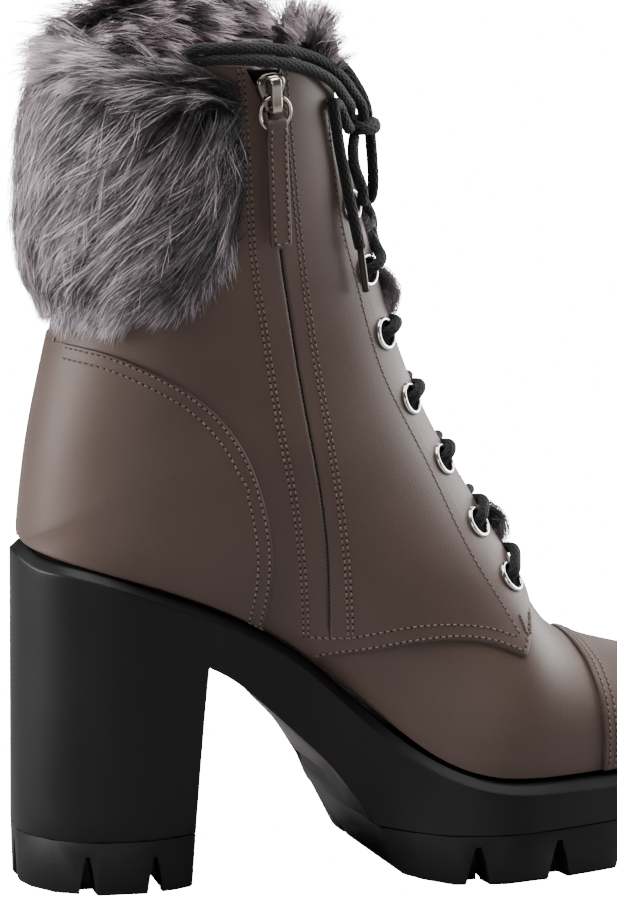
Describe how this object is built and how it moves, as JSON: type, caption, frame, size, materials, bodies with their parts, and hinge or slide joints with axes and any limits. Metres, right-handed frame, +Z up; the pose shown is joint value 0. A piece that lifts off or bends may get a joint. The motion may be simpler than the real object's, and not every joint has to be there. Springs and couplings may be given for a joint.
{
  "type": "ankle boot",
  "caption": "Lace-up ankle boot with a side zip, a fur cuff at the collar, a block heel and a lugged platform sole.",
  "frame": {"origin": "on the flat of the heel's tread, on the middle line, 28 mm ahead of the heel's back", "axes": "+X to the toe, +Z up along the shaft, +Y to the outer side of the left foot"},
  "size_m": [0.243, 0.1029, 0.3023],
  "materials": {
    "leather": "fine pebble grain, soft sheen",
    "lining": "same leather outside, suede-like lining inside",
    "fur": "long soft pile",
    "rubber": "satin",
    "tread": "matt",
    "waist": "smooth",
    "insole": "short pile on board",
    "tape": "woven",
    "metal": "polished",
    "lace": "round braid",
    "aglet": "gloss"
  },
  "bodies": {
    "boot": {"aglet_inner": "aglet", "aglet_outer": "aglet", "eyelet_inner_1": "metal", "eyelet_inner_2": "metal", "eyelet_inner_3": "metal", "eyelet_inner_4": "metal", "eyelet_inner_5": "metal", "eyelet_inner_6": "metal", "eyelet_inner_7": "metal", "eyelet_outer_1": "metal", "eyelet_outer_2": "metal", "eyelet_outer_3": "metal", "eyelet_outer_4": "metal", "eyelet_outer_5": "metal", "eyelet_outer_6": "metal", "eyelet_outer_7": "metal", "forefoot_tread": "tread", "fur_cuff": "fur", "heel_counter": "leather", "heel_lift": "tread", "insole": "insole", "lace_cross_1": "lace", "lace_cross_2": "lace", "lace_cross_3": "lace", "lace_cross_4": "lace", "lace_cross_5": "lace", "lace_cross_6": "lace", "lace_end_inner": "lace", "lace_end_outer": "lace", "lace_knot": "lace", "lace_loop_inner": "lace", "lace_loop_outer": "lace", "lace_rise_inner": "lace", "lace_rise_outer": "lace", "quarter_inner": "leather", "quarter_outer": "leather", "sole_unit": "rubber", "toe_cap": "leather", "tongue": "fur", "upper": "lining", "waist_cover": "waist", "zip_slider": "metal", "zip_tape": "tape", "zip_teeth": "metal"},
    "pull": {"pull_ring": "metal", "pull_tab": "leather"}
  },
  "joints": [
    {"name": "pull_swing", "type": "hinge", "parent": "boot", "child": "pull", "pos_m": [0.05128, -0.03809, 0.26569], "axis": [-0.9615, -0.2608, -0.0868], "range_deg": [0, 110]}
  ]
}
